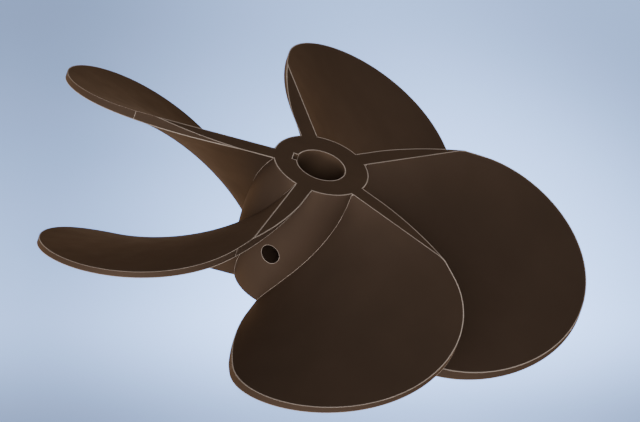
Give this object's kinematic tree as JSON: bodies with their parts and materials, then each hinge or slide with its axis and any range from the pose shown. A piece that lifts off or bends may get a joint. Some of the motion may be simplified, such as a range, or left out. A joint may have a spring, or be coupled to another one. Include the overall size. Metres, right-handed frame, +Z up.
{
  "type": "ship propeller",
  "caption": "Right-handed fixed-pitch ship propeller: broad round-tipped blades swept down a barrel hub, with a keyed shaft bore and a radial hole in the hub.",
  "frame": {"origin": "on the shaft axis, in the plane of the hub's lower end face, on which the propeller stands", "axes": "+Z up along the shaft axis, from the lower end face to the upper one; -Y through the middle of the radial hole in the hub"},
  "size_m": [0.9619, 0.9589, 0.25],
  "materials": {
    "hub_bronze": "dark brown bronze with a satin skin, machined end faces and bore",
    "blade_bronze": "dark brown bronze with a smooth satin skin and bright worn edges"
  },
  "bodies": {
    "root": {"hub": "hub_bronze", "blade_1": "blade_bronze", "blade_2": "blade_bronze", "blade_3": "blade_bronze", "blade_4": "blade_bronze", "blade_5": "blade_bronze"}
  },
  "joints": []
}
